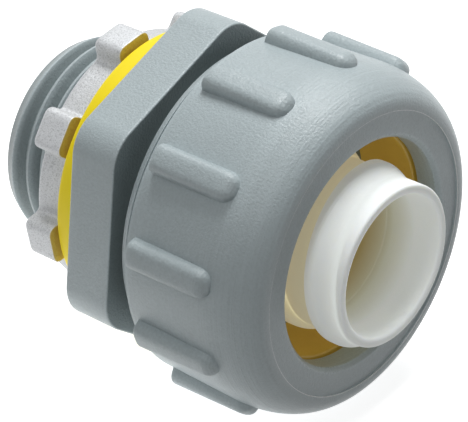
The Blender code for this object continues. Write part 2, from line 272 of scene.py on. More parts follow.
def dense(outline, step, apart=0.35):
    """Closed outline with its own points, none twice, and further ones so that no gap is much over the step.

    The further points lie at whole steps along it, without those within 0.35 of a step of a point of its own.
    """
    closed = np.vstack([outline, outline[:1]])
    run = np.concatenate([[0.0], np.cumsum(np.linalg.norm(np.diff(closed, axis=0), axis=1))])
    own = run[np.concatenate([[True], np.diff(run) > TINY])]
    extra = np.arange(0.0, run[-1], step)
    extra = extra[np.abs(extra[:, None] - own[None, :]).min(1) > apart * step]
    marks = np.sort(np.concatenate([own, extra]))[:-1]
    return np.column_stack([np.interp(marks, run, closed[:, k]) for k in (0, 1)])


def bend(outline):
    """How sharply a closed outline turns at each point, from 0 on a straight to 1 on a small radius.

    It is the angle between the two edges at the point over their mean length, over 3 radians a millimetre.
    """
    before = outline - np.roll(outline, 1, 0)
    after = np.roll(outline, -1, 0) - outline
    cross = before[:, 0] * after[:, 1] - before[:, 1] * after[:, 0]
    turn = np.abs(np.arctan2(cross, (before * after).sum(1)))
    length = (np.linalg.norm(before, axis=1) + np.linalg.norm(after, axis=1)) / 2.0
    return np.clip(turn / length / SHARP_BEND, 0.0, 1.0)


def smooth_step(t):
    """t^2 (3 - 2 t) between 0 and 1, flat outside."""
    t = np.clip(t, 0.0, 1.0)
    return t * t * (3.0 - 2.0 * t)


def joined(*columns):
    """Array of points from their coordinates, each an array or one number that holds for all points."""
    return np.stack(np.broadcast_arrays(*np.atleast_1d(*columns)), axis=-1)


def turned(x, radius, angles):
    """Grid of points, one row per angle a: (x, r cos a, r sin a)."""
    return joined(x, radius * np.cos(angles)[:, None], radius * np.sin(angles)[:, None])


def quads(row_count, column_count, ring):
    """Corner numbers of a grid's squares. Its columns close, and its rows close too if it is a ring."""
    row = np.arange(row_count if ring else row_count - 1)[:, None]
    column = np.arange(column_count)[None, :]
    ahead = (row + 1) % row_count * column_count
    after = (column + 1) % column_count
    here = row * column_count
    corners = [here + column, here + after, ahead + after, ahead + column]
    return np.stack(np.broadcast_arrays(*corners), axis=-1).reshape(-1, 4)


def make(name, shells, finish, body, nodes):
    """Object of closed shells, each (grid, ring, rim values), that rides on a body and stands for CAD nodes.

    A shell that is no ring is capped at its first and last row. A shell whose corners enclose a negative
    volume, by the sum of P0 . (P1 x P2) over its triangles, is turned so that its faces point outwards.
    """
    points, faces, rims = [], [], []
    base = 0
    for grid, ring, rim in shells:
        row_count, column_count = grid.shape[:2]
        flat = grid.reshape(-1, 3)
        square = quads(row_count, column_count, ring)
        a, b, c, d = (flat[square[:, k]] for k in range(4))
        volume = (a * np.cross(b, c)).sum() + (a * np.cross(c, d)).sum()
        around = np.arange(column_count)
        caps = [] if ring else [around[::-1], around + (row_count - 1) * column_count]
        if volume < 0.0:
            square = square[:, ::-1]
            caps = [cap[::-1] for cap in caps]
        faces += (square + base).tolist() + [(cap + base).tolist() for cap in caps]
        points.append(flat)
        rims.append(np.broadcast_to(rim, (row_count, column_count)).reshape(-1))
        base += row_count * column_count
    mesh = bpy.data.meshes.new(name)
    mesh.from_pydata(np.concatenate(points) * MM, [], faces)
    attribute = mesh.attributes.new("rim", "FLOAT", "POINT")
    attribute.data.foreach_set("value", np.concatenate(rims).astype(np.float32))
    mesh.shade_smooth()
    mesh.set_sharp_from_angle(angle=np.radians(SHARP_ANGLE))
    mesh.materials.append(finish)
    made = bpy.data.objects.new(name, mesh)
    bpy.context.collection.objects.link(made)
    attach(made, body)
    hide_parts(*nodes)
    return made


def plain_ring(corners, columns=RING_COLUMNS):
    """Shell of a softened outline turned about the axis. Its rim values are the outline's bend."""
    profile = dense(soften(corners), RING_GRID)
    angles = np.arange(columns) * 2.0 * np.pi / columns
    return turned(profile[:, 0], profile[:, 1], angles), True, bend(profile)


def spiral(lead, x, angle, first, last, section, fade, steps=96):
    """Shell of a section carried along the helix about the axis that passes the place x at the angle.

    Row a holds the points (x + lead (a - angle) / 360 + dx, r cos a, r sin a). The section is a function of
    the share that has grown, from 0 to 1 over the fade at both ends, and gives the (dx, r) of its points.
    """
    angles = np.linspace(first, last, int((last - first) / 360.0 * steps) + 1)
    grown = smooth_step(np.minimum(angles - first, last - angles) / fade)
    dx, radius = section(grown[:, None])
    bearing = np.radians(angles)[:, None]
    place = x + lead * (angles[:, None] - angle) / 360.0 + dx
    return joined(place, radius * np.cos(bearing), radius * np.sin(bearing)), False, 0.0


def vee(crest, root, top, sink=0.15, least=0.02):
    """Section of a thread, sunk a little below its root: two flanks and a narrow flat top.

    At the height h over its foot the half width is top / 2 + (full height - h) tan 30. Its top stands at the
    full height times the grown share, and never under 2% of it.
    """
    sides = np.array([-1.0, -1.0, 1.0, 1.0])
    low = root - sink

    def section(grown):
        height = np.array([0.0, 1.0, 1.0, 0.0]) * (crest - low) * (least + (1.0 - least) * grown)
        reach = top / 2.0 + (crest - low - height) * np.tan(np.radians(THREAD_FLANK))
        return sides * reach, low + height

    return section


def flange_radius(angles, inset):
    """Distance from the axis to a hexagon with rounded corners, drawn in by the inset.

    On a flat it is flat radius / cos(angle from the flat's middle). Near a corner it is the far meeting point
    of the ray with the corner's circle: d cos g + sqrt(c^2 - d^2 sin^2 g), with d the distance of the
    circle's centre, c its radius and g the angle from the corner's middle.
    """
    half_side = np.radians(30.0)
    flat = FLANGE_FLAT_RADIUS - inset
    corner = FLANGE_CORNER_RADIUS - inset
    centre = (FLANGE_FLAT_RADIUS - FLANGE_CORNER_RADIUS) / np.cos(half_side)
    off = np.radians(np.abs(np.mod(np.degrees(angles) - FLANGE_TURN, 60.0) - 30.0))
    touch = np.arctan2(corner * np.sin(half_side), centre + corner * np.cos(half_side))
    on_flat = flat / np.cos(half_side - off)
    under = np.maximum(corner**2 - (centre * np.sin(off)) ** 2, 0.0)
    on_corner = centre * np.cos(off) + np.sqrt(under)
    return np.where(off < touch, on_corner, on_flat)


def body_profile(below=-5.0, margin=0.05):
    """Profile points (x, r, w, i) of the body, from its nose's end over flange and barrel to the wireway.

    The outlines of nose and barrel are closed below the axis, and cut off again at the wireway. The flange's
    edges are quarter circles.
    """
    flank = (NOSE_RADIUS - NOSE_CORE_RADIUS) * np.tan(np.radians(THREAD_FLANK))
    nose = dense(soften([
        (NOSE_BACK, WIREWAY_RADIUS + WIREWAY_CHAMFER, 0.1), (NOSE_BACK, NOSE_END_RADIUS, 0.22),
        (COLLAR_FRONT, COLLAR_RADIUS, 0.12), (COLLAR_FRONT + flank, NOSE_CORE_RADIUS, 0.1),
        (NECK_BACK, NOSE_CORE_RADIUS, 0.1), (NECK_FRONT, NECK_RADIUS, 0.1), (0.0, NECK_RADIUS, 0.0),
        (0.0, below, 0.0), (NOSE_BACK, below, 0.0)]), NOSE_GRID)
    barrel = dense(soften([
        (FLANGE_FRONT, BARREL_CORE_RADIUS, 0.0), (BARREL_FRONT - BARREL_LIP, BARREL_CORE_RADIUS, 0.05),
        (BARREL_FRONT - BARREL_LIP, BARREL_LIP_RADIUS, 0.1), (BARREL_FRONT, BARREL_LIP_RADIUS, 0.25),
        (BARREL_FRONT, SOCKET_RADIUS + SOCKET_CONE, 0.2),
        (BARREL_FRONT - SOCKET_CONE_LENGTH, SOCKET_RADIUS, 0.2),
        (SOCKET_FLOOR, SOCKET_RADIUS, 0.1), (SOCKET_FLOOR, WIREWAY_RADIUS, 0.1),
        (NOSE_BACK + WIREWAY_CHAMFER, WIREWAY_RADIUS, 0.2),
        (NOSE_BACK, below, 0.0), (FLANGE_FRONT, below, 0.0)]), BARREL_GRID)
    nose = nose[nose[:, 1] > WIREWAY_RADIUS + margin]
    barrel = barrel[barrel[:, 1] >= WIREWAY_RADIUS - TINY]
    fillet = np.linspace(0.0, np.pi / 2.0, 7)
    rise = FLANGE_ROUND * (1.0 - np.cos(fillet))
    fall = FLANGE_ROUND * (1.0 - np.sin(fillet))
    spread = np.linspace(0.0, 1.0, 8)[1:]
    return np.concatenate([
        joined(nose[:, 0], nose[:, 1], 0.0, 0.0),
        joined(0.0, NECK_RADIUS, spread, FLANGE_ROUND),
        joined(rise, 0.0, 1.0, fall)[1:],
        joined(np.linspace(FLANGE_ROUND, FLANGE_FRONT - FLANGE_ROUND, 12)[1:-1], 0.0, 1.0, 0.0),
        joined(FLANGE_FRONT - fall, 0.0, 1.0, rise),
        joined(FLANGE_FRONT, BARREL_CORE_RADIUS, spread[::-1][1:], FLANGE_ROUND),
        joined(barrel[:, 0], barrel[:, 1], 0.0, 0.0)])


def body_shells():
    """Body of one moulding: its profile turned about the axis, and the threads of nose and barrel laid on.

    The radius at an angle is (1 - w) r + w times the hexagon's distance for the inset i, so w is 0 on the
    round parts and 1 on the flange's edge. The angles are closer together at the hexagon's corners.
    """
    sides = np.arange(6)[:, None] * 60.0 + FLANGE_TURN
    side = np.concatenate([
        np.arange(0.0, CORNER_START, 2.0), np.arange(CORNER_START, CORNER_END, 0.5),
        np.arange(CORNER_END, 60.0, 2.0)])
    angles = np.radians((sides + side[None, :]).ravel())
    x, radius, share, inset = body_profile().T
    radius = (1.0 - share) * radius + share * flange_radius(angles[:, None], inset)
    core = (turned(x, radius, angles), True, bend(np.column_stack([x, radius[0]])))
    nose_back = COLLAR_FRONT + NOSE_THREAD_GAP
    nose = spiral(
        NOSE_LEAD, NOSE_CREST_X, NOSE_CREST_ANGLE,
        NOSE_CREST_ANGLE + (nose_back - NOSE_CREST_X) / NOSE_LEAD * 360.0,
        NOSE_CREST_ANGLE + (NOSE_THREAD_FRONT - NOSE_CREST_X) / NOSE_LEAD * 360.0,
        vee(NOSE_RADIUS, NOSE_CORE_RADIUS, NOSE_CREST_WIDTH), NOSE_THREAD_FADE)
    barrel = spiral(
        BARREL_LEAD, BARREL_THREAD_BACK, 0.0, 0.0, BARREL_THREAD_LENGTH / BARREL_LEAD * 360.0,
        vee(BARREL_RADIUS, BARREL_CORE_RADIUS, BARREL_CREST_WIDTH), BARREL_THREAD_FADE)
    return [core, nose, barrel]


def seal_shells():
    """Soft washer behind the flange: a rectangle with rounded corners, turned about the axis."""
    return [plain_ring([
        (SEAL_BACK, RUNNING_RADIUS, 0.3), (SEAL_BACK, SEAL_RADIUS, 0.35),
        (SEAL_FRONT, SEAL_RADIUS, 0.35), (SEAL_FRONT, RUNNING_RADIUS, 0.3)])]


def lug_outline(arc_reach=0.2):
    """Outline (y, z) of the locknut: lugs with parallel sides on a circle, with rounded tips and feet."""
    half = LUG_WIDTH / 2.0
    foot = np.sqrt(LOCKNUT_RADIUS**2 - half**2)
    lug = [
        (foot, -half, LUG_FOOT), (LUG_TIP_RADIUS, -half, LUG_CORNER),
        (LUG_TIP_RADIUS, half, LUG_CORNER), (foot, half, LUG_FOOT)]
    gap = np.radians(360.0 / LUG_COUNT) - 2.0 * np.arcsin(half / LOCKNUT_RADIUS)
    bearing = np.arcsin(half / LOCKNUT_RADIUS) + gap * np.linspace(0.0, 1.0, 9)[1:-1]
    arc = joined(LOCKNUT_RADIUS * np.cos(bearing), LOCKNUT_RADIUS * np.sin(bearing), arc_reach)
    out, side, reach = np.concatenate([lug, arc]).T
    middle = np.radians(LUG_FIRST_ANGLE + 360.0 / LUG_COUNT * np.arange(LUG_COUNT))[:, None]
    y = out * np.cos(middle) - side * np.sin(middle)
    z = out * np.sin(middle) + side * np.cos(middle)
    return dense(soften(joined(y.ravel(), z.ravel(), np.tile(reach, LUG_COUNT))), RING_GRID)


def locknut_shells():
    """Ring with lugs: a flat outline given thickness along the axis, softer at the back than in front.

    A point of its section is (x, f, i, o). Its place at each outline point P is B + f (P - i n - B), with n
    the outline's outward normal there, and B the point with the same number of a circle whose radius is the
    bore's + o.
    """
    outline = lug_outline()
    tangent = np.roll(outline, -1, 0) - np.roll(outline, 1, 0)
    normal = np.column_stack([tangent[:, 1], -tangent[:, 0]]) / np.linalg.norm(tangent, axis=1, keepdims=True)
    start = np.arctan2(outline[0, 1], outline[0, 0])
    turn = start + np.arange(len(outline)) * 2.0 * np.pi / len(outline)
    compass = np.column_stack([np.cos(turn), np.sin(turn)])
    thickness = LOCKNUT_FRONT - LOCKNUT_BACK
    back, front, edge = LOCKNUT_ROUND, LOCKNUT_FRONT_ROUND, LOCKNUT_BORE_EDGE
    fillet = np.linspace(0.0, np.pi / 2.0, 6)
    rise = 1.0 - np.cos(fillet)
    fall = 1.0 - np.sin(fillet)
    across = np.linspace(0.0, 1.0, 9)[1:-1]
    section = np.concatenate([
        joined([edge, 0.0], 0.0, 0.0, [0.0, edge]),
        joined(0.0, across, back, edge),
        joined(back * rise, 1.0, back * fall, 0.0),
        joined(np.linspace(back, thickness - front, 6)[1:-1], 1.0, 0.0, 0.0),
        joined(thickness - front * fall, 1.0, front * rise, 0.0),
        joined(thickness, across[::-1], front, edge),
        joined([thickness, thickness - edge], 0.0, 0.0, [edge, 0.0])])
    x, share, inset, opened = section.T[:, None, :]
    bore = compass[:, None, :] * (RUNNING_RADIUS + opened)[..., None]
    outer = outline[:, None, :] - inset[..., None] * normal[:, None, :]
    place = bore + share[..., None] * (outer - bore)
    x = np.broadcast_to(LOCKNUT_BACK + x, place.shape[:2])
    rim = ((share == 1.0) & (inset > 0.0)).astype(float)
    return [(np.concatenate([x[..., None], place], axis=-1), True, rim)]


def rib_curves():
    """Lines of the nut that follow its ribs: (x, height, half width) from the rear end to the front end.

    The rear end is a wall with a small round above it. The front end falls as cos b and narrows as
    (cos b)^0.8, where x = front - round (1 - sin b). The height falls evenly by the taper in between.
    """
    rear_x, rear_height, rear_width = np.array(RIB_REAR).T
    falling = np.radians(np.linspace(0.0, 88.0, 13))[1:]
    straight_end = RIB_FRONT - RIB_ROUND
    straight = np.linspace(RIB_BACK + RIB_BACK_ROUND, straight_end, 15)[1:]
    x = np.concatenate([RIB_BACK + rear_x, straight, RIB_FRONT - RIB_ROUND * (1.0 - np.sin(falling))])
    along = np.clip((x - RIB_BACK) / (straight_end - RIB_BACK), 0.0, 1.0)
    height = np.concatenate([rear_height, np.ones(len(straight)), np.cos(falling)])
    width = np.concatenate([rear_width, np.ones(len(straight)), np.cos(falling) ** 0.8])
    return x, height * (RIB_HEIGHT - RIB_TAPER * along), width * RIB_WIDTH / 2.0


def nut_profile(rib_x):
    """Outline (x, r) of the nut: a flared shell, a roll of a quarter ellipse, mouth, bore and rear groove."""
    roll_length = NUT_FRONT - NUT_ROLL_START
    roll_x = NUT_ROLL_START + roll_length * np.sin(np.radians(np.linspace(0.0, 90.0, 30)))
    wall_x = np.concatenate([[NUT_WALL_BACK + NUT_WALL_EDGE], rib_x, roll_x[roll_x > RIB_FRONT + 0.1]])
    flared = np.interp(wall_x, [NUT_WALL_BACK, NUT_ROLL_START], [NUT_SHELL_RADIUS, NUT_RADIUS])
    ellipse = 1.0 - np.clip((wall_x - NUT_ROLL_START) / roll_length, 0.0, 1.0) ** 2
    rolled = NUT_ROLL_RADIUS + (NUT_RADIUS - NUT_ROLL_RADIUS) * np.sqrt(ellipse)
    mouth = [
        (NUT_FRONT, NUT_ROLL_RADIUS - NUT_RIM, 0.08), (NUT_FACE, NUT_ROLL_RADIUS - NUT_RIM, 0.05),
        (NUT_FACE, NUT_MOUTH_RADIUS + NUT_MOUTH_EDGE, 0.15),
        (NUT_FACE - NUT_MOUTH_EDGE, NUT_MOUTH_RADIUS, 0.12),
        (NUT_SEAT, NUT_MOUTH_RADIUS, 0.15), (NUT_SEAT, NUT_CAVITY_RADIUS, 0.1)]
    bore = [
        (NUT_CAVITY_BACK + NUT_CAVITY_EDGE, NUT_CAVITY_RADIUS, 0.2),
        (NUT_CAVITY_BACK, NUT_THREAD_RADIUS, 0.2),
        (NUT_BACK + NUT_THREAD_EDGE, NUT_THREAD_RADIUS, 0.1),
        (NUT_BACK, NUT_THREAD_RADIUS + NUT_THREAD_EDGE, 0.1)]
    back = [(NUT_BACK, NUT_BACK_RADIUS, 0.14), *NUT_GROOVE, (NUT_WALL_BACK, NUT_SHELL_RADIUS - 0.1, 0.1)]
    wall = joined(wall_x, np.where(wall_x < NUT_ROLL_START, flared, rolled), 0.0)
    return dense(soften(np.concatenate([wall, mouth, bore, back])), NUT_GRID)


def nut_shells():
    """Gland nut: a profile turned about the axis and raised into ribs.

    On the outside the radius is the smooth larger, (a + b + sqrt((a - b)^2 + k^2)) / 2, of the wall's radius
    and the rib's. The rib's is its foot + height (1 - (t / half width)^4)^0.5 at the distance t from the
    rib's middle, and beyond the half width it falls by twice the further distance. The columns of the grid
    follow the rib's half width. Rim values are the profile's bend, and 2 more on the step of the front edge,
    where the finish paints a pale highlight line.
    """
    rib_x, rib_height, rib_half = rib_curves()
    profile = nut_profile(rib_x)
    x, wall_radius = profile[:, 0], profile[:, 1]
    outside = (x > NUT_WALL_BACK - 0.1) & (wall_radius > NUT_ROLL_RADIUS + 0.4)
    height = np.where(outside, np.interp(x, rib_x, rib_height, 0.0, 0.0), 0.0)
    half = np.interp(x, rib_x, rib_half, RIB_WIDTH / 2.0, RIB_WIDTH / 2.0)
    lane = np.maximum(half, LANE_LEAST)
    lane = np.where(x > RIB_FRONT, np.minimum(LANE_LEAST + (x - RIB_FRONT), RIB_WIDTH / 2.0), lane)
    lane = np.where(outside, lane, RIB_WIDTH / 2.0)
    # Columns lie close together at the sides of a rib, and further apart towards the middle between two
    sector = np.radians(360.0 / RIB_COUNT) / 2.0 * NUT_RADIUS
    crown = np.sin(np.radians(np.linspace(-90.0, 90.0, 17)))
    gaps = np.array([0.02, 0.05, 0.1, 0.18, 0.32, 0.52, 0.76])
    inner = crown[:, None] * lane[None, :]
    outer = lane[None, :] + gaps[:, None] * (sector - lane[None, :])
    across = np.concatenate([-outer[::-1], inner, outer, np.full((1, len(x)), sector)])
    off = np.abs(across)
    dome = NUT_SHELL_RADIUS + height * np.clip(1.0 - (off / half) ** 4, 0.0, 1.0) ** 0.5
    dome = dome - RIB_SIDE_FALL * np.maximum(off - half, 0.0)
    merged = (wall_radius + dome + np.sqrt((wall_radius - dome) ** 2 + RIB_BLEND**2)) / 2.0
    ribbed = outside & (height > 0.0)
    radius = np.where(ribbed[None, :], merged, wall_radius[None, :])
    sides = np.radians(RIB_FIRST_ANGLE + 360.0 / RIB_COUNT * np.arange(RIB_COUNT))
    bearing = (sides[:, None, None] + across[None, :, :] / NUT_RADIUS).reshape(-1, len(x))
    radius = np.tile(radius, (RIB_COUNT, 1))
    grid = joined(x, radius * np.cos(bearing), radius * np.sin(bearing))
    # Where the finish paints a pale highlight line along the front edge's step
    painted_glint = np.hypot(x - NUT_FRONT, wall_radius - NUT_ROLL_RADIUS + NUT_RIM) < GLINT_REACH
    return [(grid, True, bend(profile) + GLINT_MARK * painted_glint)]


def grip_shells():
    """Compression ring behind the nut's mouth: skirt, cone and thick front, turned about the axis."""
    return [plain_ring([
        (GRIP_SKIRT_BACK, GRIP_BORE_RADIUS, 0.05), (GRIP_SKIRT_BACK, GRIP_SKIRT_RADIUS, 0.05),
        (GRIP_BACK, GRIP_NOSE_RADIUS, 0.3), (GRIP_BACK + GRIP_CONE, GRIP_RADIUS, 0.4),
        (GRIP_FRONT, GRIP_RADIUS, 0.25), (GRIP_FRONT, GRIP_BORE_RADIUS, 0.3)])]


def ridge_place(angle):
    """Place along the axis that the ridge's line has at an angle."""
    return RIDGE_END_X + RIDGE_LEAD * (angle - RIDGE_END_ANGLE) / 360.0


def ferrule_tube(back_off=0.5, blend=0.25, step_back=30.0):
    """Tube on a base. Its rim value is 0 on the lip and 1 behind the ridge's last turn.

    With E the ridge's place at the angle, which steps back by a turn within 30 degrees past the ridge's end,
    the value is (E - 0.5 - x) / 0.25 between 0 and 1.
    """
    grid, ring, _ = plain_ring([
        (FERRULE_BACK, FERRULE_BORE_RADIUS, 0.1), (FERRULE_BACK, FERRULE_BASE_RADIUS, 0.3),
        (FERRULE_BASE_FRONT, FERRULE_BASE_RADIUS, 0.3), (FERRULE_BASE_FRONT, FERRULE_RADIUS, 0.25),
        (FERRULE_FRONT, FERRULE_RADIUS, 0.3), (FERRULE_FRONT, FERRULE_MOUTH_RADIUS, 0.3),
        (FERRULE_TAPER_START, FERRULE_BORE_RADIUS + FERRULE_TAPER_STEP, 0.1),
        (FERRULE_TAPER_START - 0.1, FERRULE_BORE_RADIUS, 0.1)], FERRULE_COLUMNS)
    around = np.arange(len(grid)) * 360.0 / len(grid)
    stepped = RIDGE_END_ANGLE + step_back
    edge = np.interp(around, [0.0, RIDGE_END_ANGLE, stepped, 360.0],
                     ridge_place(np.array([0.0, RIDGE_END_ANGLE, stepped - 360.0, 0.0])))
    return grid, ring, np.clip((edge[:, None] - back_off - grid[..., 0]) / blend, 0.0, 1.0)


def ferrule_ridge(rear_foot=-0.55):
    """Spiral ridge with a steep rear, a crest and a long front ramp, buried below the tube's surface.

    With S the smooth step, its height over the tube is H S((dx + b) / s) (1 - S((dx - c) / l)), where b is
    its reach to the back, s the length of the steep rear, c the crest's end and l the ramp's length. The part
    in front of dx = 0.45 is drawn together where it would pass the lip, and by half on the older turns. Rim
    values are 1 on the older turns and at the rear's foot.
    """
    first = RIDGE_END_ANGLE - RIDGE_TURNS * 360.0
    # The points over the tube are closest on the steep rear, and a few more lie under it
    dx = np.concatenate([np.linspace(-0.66, -0.4, 14), np.linspace(-0.2, RIDGE_FOOT, 43)])[None, :]
    rear = smooth_step((dx + RIDGE_REACH_BACK) / RIDGE_REAR)
    height = RIDGE_HEIGHT * rear * (1.0 - smooth_step((dx - RIDGE_CREST) / RIDGE_RAMP))
    low = np.array([[2.3, 1.4, 0.6, 0.0, -0.6]])
    shape = np.concatenate([dx, low], axis=1)

    def section(grown):
        top = FERRULE_RADIUS - RIDGE_SINK + (height + RIDGE_SINK) * grown
        under = np.broadcast_to(FERRULE_RADIUS - RIDGE_DEPTH, (len(grown), low.shape[1]))
        angle = np.linspace(first, RIDGE_END_ANGLE, len(grown))[:, None]
        room = FERRULE_FRONT - RIDGE_LIP_GAP - ridge_place(angle) - RIDGE_KEPT
        share = np.minimum(1.0, room / (RIDGE_FOOT - RIDGE_KEPT))
        share = np.where(angle < OLD_TURN_ANGLE, OLD_TURN_SHARE, share)
        places = np.where(shape > RIDGE_KEPT, RIDGE_KEPT + (shape - RIDGE_KEPT) * share, shape)
        return places, np.concatenate([top, under], axis=1)

    grid, ring, _ = spiral(
        RIDGE_LEAD, RIDGE_END_X, RIDGE_END_ANGLE, first, RIDGE_END_ANGLE, section, RIDGE_FADE, 120)
    old = np.linspace(first, RIDGE_END_ANGLE, len(grid)) < OLD_TURN_ANGLE
    return grid, ring, np.maximum(old[:, None], (shape < rear_foot) * 1.0)


def ferrule_shells():
    """Ferrule: its tube, and the ridge that winds round it."""
    return [ferrule_tube(), ferrule_ridge()]


class Wire:
    """Output of a shader node. Arithmetic on it adds Math nodes to its tree."""

    def __init__(self, bench, socket):
        self.bench = bench
        self.socket = socket

    def __add__(self, other):
        return self.bench.maths("ADD", self, other)

    def __radd__(self, other):
        return self.bench.maths("ADD", other, self)

    def __sub__(self, other):
        return self.bench.maths("SUBTRACT", self, other)

    def __rsub__(self, other):
        return self.bench.maths("SUBTRACT", other, self)

    def __mul__(self, other):
        return self.bench.maths("MULTIPLY", self, other)

    def __rmul__(self, other):
        return self.bench.maths("MULTIPLY", other, self)


class Bench:
    """Node tree in which a finish is put together."""

    def __init__(self, tree):
        self.tree = tree

    def node(self, kind, settings=None, values=None, output=0):
        """New node: its settings first, then the values or wires of its sockets. Gives one output."""
        made = self.tree.nodes.new("ShaderNode" + kind)
        for name, value in (settings or {}).items():
            setattr(made, name, value)
        for name, value in (values or {}).items():
            self.feed(made.inputs[name], value)
        return Wire(self, made.outputs[output])

    def feed(self, socket, value):
        """Link a wire to a socket, or set its value."""
        if isinstance(value, Wire):
            self.tree.links.new(value.socket, socket)
        else:
            socket.default_value = value

    def maths(self, operation, first, second):
        """Math node on two numbers."""
        return self.node("Math", {"operation": operation}, {0: first, 1: second})

    def vector(self, operation, first, second=(0.0, 0.0, 0.0), output=0):
        """Vector Math node on one vector or two."""
        return self.node("VectorMath", {"operation": operation}, {0: first, 1: second}, output)

    def clamp(self, value):
        """The value, held between 0 and 1."""
        return self.node("Clamp", None, {"Value": value})

    def past(self, place, start, slope):
        """(place - start) slope between 0 and 1, with the start and the slope given for millimetres."""
        return self.clamp((place - start * MM) * (slope / MM))

    def contrast(self, value, gain):
        """The value, with its distance from 0.5 multiplied by the gain, between 0 and 1."""
        return self.clamp(0.5 + (value - 0.5) * gain)

    def mix(self, factor, first, second):
        """Colour between two colours, each a wire or three channels."""
        first, second = (colour if isinstance(colour, Wire) else (*colour, 1.0) for colour in (first, second))
        return self.node("Mix", {"data_type": "RGBA"}, {"Factor": factor, 6: first, 7: second}, 2)

    def rim(self):
        """Rim values of the mesh."""
        return self.node("Attribute", {"attribute_name": "rim"}, None, "Fac")

    def spot(self):
        """Object coordinates, which are metres in the frame of the part."""
        return self.node("TexCoord", None, None, "Object")

    def coordinate(self, axis):
        """One of the Object coordinates."""
        return self.node("SeparateXYZ", None, {"Vector": self.spot()}, axis)

    def length(self, vector):
        """Length of a vector."""
        return self.vector("LENGTH", vector, output="Value")

    def off_axis(self):
        """Distance from the X axis: the length of (0, y, z)."""
        return self.length(self.vector("MULTIPLY", self.spot(), (0.0, 1.0, 1.0)))

    def noise(self, scale, detail=2.0, roughness=0.5, around=None):
        """Noise about 0.5, with the scale for a millimetre along X, and the same or another one around it."""
        around = scale if around is None else around
        stretched = self.vector("MULTIPLY", self.spot(), (scale / MM, around / MM, around / MM))
        values = {"Vector": stretched, "Scale": 1.0, "Detail": detail, "Roughness": roughness}
        return self.node("TexNoise", None, values, "Fac")

    def seen(self):
        """1 for rays from the camera, mirrors and glass, 0 for those that carry light."""
        kinds = ("Is Camera Ray", "Is Glossy Ray", "Is Transmission Ray")
        camera, glossy, through = (self.node("LightPath", None, None, kind) for kind in kinds)
        return self.clamp(camera + glossy + through)


class Finish(Bench):
    """Material with one Principled shader."""

    def __init__(self, name):
        self.material = bpy.data.materials.new(name)
        self.material.use_nodes = True
        super().__init__(self.material.node_tree)
        self.shader = self.tree.nodes["Principled BSDF"]

    def surface(self, sockets):
        """Link or set sockets of the shader."""
        for name, value in sockets.items():
            self.feed(self.shader.inputs[name], value)

    def relief(self, height, strength, depth):
        """Bump on the shader's normal, for a depth in millimetres."""
        values = {"Strength": strength, "Distance": depth * MM, "Height": height}
        self.surface({"Normal": self.node("Bump", None, values)})


def tone(colour, factor):
    """Colour times a factor."""
    return tuple(channel * factor for channel in colour)


def level(value):
    """Grey of one value in all its channels."""
    return (value, value, value)


def grey_moulding(name, ring_lines, painted_recess_shade):
    """Satin grey moulding: slow clouding, fine grain from the mould, turned lines and lighter edges.

    The lines grow stronger towards the nut's front. The lighter edges are a painted highlight, and rim values
    above
    1 paint a pale highlight line along the nut's front edge. The recess shade is painted: a piece with it is
    darker in its thread's root and in the gap between flange and nut.
    """
    finish = Finish(name)
    rim = finish.rim()
    place = finish.coordinate("X")
    cloud = finish.noise(0.16, 3.0)
    grain = finish.noise(4.2, 3.0, 0.6)
    lines = finish.noise(5.6, 4.0, 0.65, around=0.05)
    # Edges: lighter by a painted highlight, and a little glossier from wear
    edge_wear_and_highlight = finish.clamp(rim * (0.6 + 0.8 * cloud))
    lined = ring_lines * (0.35 + 0.65 * finish.past(place, LINES_START, 0.35))
    base = finish.mix(cloud, tone(GREY, 0.95), tone(GREY, 1.05))
    base = finish.mix(finish.contrast(grain, 3.2) * 0.5, base, tone(GREY, 1.28))
    base = finish.mix(finish.contrast(lines, 3.0) * lined * 0.6, base, tone(GREY, 1.35))
    base = finish.mix(edge_wear_and_highlight * 0.45, base, tone(GREY, 1.35))
    # Pale painted highlight line where the rim values pass 1
    painted_glint = (0.85, 0.86, 0.86)
    base = finish.mix(finish.clamp(rim - 1.0) * 0.8, base, painted_glint)
    # Painted shade: darker in the thread's root and in the gap between flange and nut
    if painted_recess_shade:
        root = finish.past(finish.off_axis(), ROOT_RADIUS, -2.5) * finish.past(place, ROOT_FRONT, -5.0)
        gap = finish.past(place, GAP_BACK, 12.0)
        shade = (0.06, 0.085, 0.08)
        base = finish.mix(finish.clamp(root * 0.45 + gap * 0.55), base, shade)
    finish.surface({
        "IOR": 1.52, "Base Color": base, "Roughness": 0.26 + cloud * 0.06 + grain * 0.1 - edge_wear_and_highlight * 0.06})
    finish.relief(grain * 0.85 + lines * lined, 0.7, 0.12)
    return finish.material


def zinc_casting():
    """Tumbled die casting: pale grey metal, speckled dark in its pores, brighter on its worn edges.

    Its front face lies close to the yellow ring and gets a painted yellow reflection of it.
    """
    finish = Finish("zinc casting")
    rim = finish.rim()
    cloud = finish.noise(0.22, 3.0)
    grit = finish.noise(3.4, 4.0, 0.7)
    pores = finish.noise(6.5, 2.0, 0.6)
    dark = finish.clamp((0.5 - pores) * 6.0)
    light = finish.clamp((grit - 0.5) * 3.0)
    base = finish.mix(cloud, (0.5, 0.515, 0.53), (0.6, 0.615, 0.63))
    base = finish.mix(dark * 0.6, base, (0.27, 0.28, 0.29))
    base = finish.mix(light * 0.5, base, BRIGHT_ZINC)
    base = finish.mix(rim * 0.3, base, BRIGHT_ZINC)
    # Painted reflection: the front face tinted by the yellow ring beside it
    yellow_reflection = finish.past(finish.coordinate("X"), YELLOW_REFLECTION_BACK, 20.0)
    base = finish.mix(yellow_reflection * 0.8, base, (0.62, 0.46, 0.05))
    finish.surface({"Metallic": 0.4, "Base Color": base, "Roughness": 0.5 + dark * 0.15 - rim * 0.08})
    finish.relief(grit * 0.8 + pores * 0.6, 0.6, 0.12)
    return finish.material


